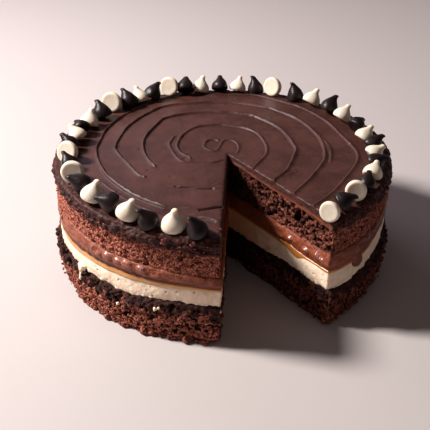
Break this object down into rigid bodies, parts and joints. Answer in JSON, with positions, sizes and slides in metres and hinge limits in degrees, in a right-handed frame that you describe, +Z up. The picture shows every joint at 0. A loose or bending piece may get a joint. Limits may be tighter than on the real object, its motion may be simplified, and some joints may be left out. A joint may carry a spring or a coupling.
{
  "type": "layered chocolate cake",
  "caption": "Round layered chocolate cake with a slice taken out, showing sponge, cream, caramel and chocolate filling, and a ring of chocolate drops on its frosted top.",
  "frame": {"origin": "on the cake's axis, on the flat underside of the lower sponge", "axes": "+Z up out of the frosted top; the missing slice opens towards -Y; +X to the right of the slice"},
  "size_m": [0.2029, 0.201, 0.0837],
  "materials": {
    "sponge": "open, torn chocolate crumb",
    "cream": "soft vanilla cream with small pits",
    "caramel": "smooth sticky caramel",
    "filling": "glossy chocolate filling",
    "frosting": "spread chocolate frosting, satin",
    "white_chocolate": "satin white chocolate",
    "dark_chocolate": "satin dark chocolate"
  },
  "bodies": {
    "root": {"lower_sponge": "sponge", "upper_sponge": "sponge", "cream_layer": "cream", "caramel_layer": "caramel", "chocolate_filling": "filling", "frosting": "frosting", "dark_drop_01": "dark_chocolate", "dark_drop_02": "dark_chocolate", "dark_drop_03": "dark_chocolate", "dark_drop_04": "dark_chocolate", "dark_drop_05": "dark_chocolate", "dark_drop_06": "dark_chocolate", "dark_drop_07": "dark_chocolate", "dark_drop_08": "dark_chocolate", "dark_drop_09": "dark_chocolate", "dark_drop_10": "dark_chocolate", "dark_drop_11": "dark_chocolate", "dark_drop_12": "dark_chocolate", "dark_drop_13": "dark_chocolate", "dark_drop_14": "dark_chocolate", "dark_drop_15": "dark_chocolate", "dark_drop_16": "dark_chocolate", "dark_drop_17": "dark_chocolate", "dark_drop_18": "dark_chocolate", "dark_drop_19": "dark_chocolate", "dark_drop_20": "dark_chocolate", "white_drop_01": "white_chocolate", "white_drop_02": "white_chocolate", "white_drop_03": "white_chocolate", "white_drop_04": "white_chocolate", "white_drop_05": "white_chocolate", "white_drop_06": "white_chocolate", "white_drop_07": "white_chocolate", "white_drop_08": "white_chocolate", "white_drop_09": "white_chocolate", "white_drop_10": "white_chocolate", "white_drop_11": "white_chocolate", "white_drop_12": "white_chocolate", "white_drop_13": "white_chocolate", "white_drop_14": "white_chocolate", "white_drop_15": "white_chocolate", "white_drop_16": "white_chocolate", "white_drop_17": "white_chocolate", "white_drop_18": "white_chocolate", "white_drop_19": "white_chocolate", "white_drop_20": "white_chocolate"}
  },
  "joints": []
}
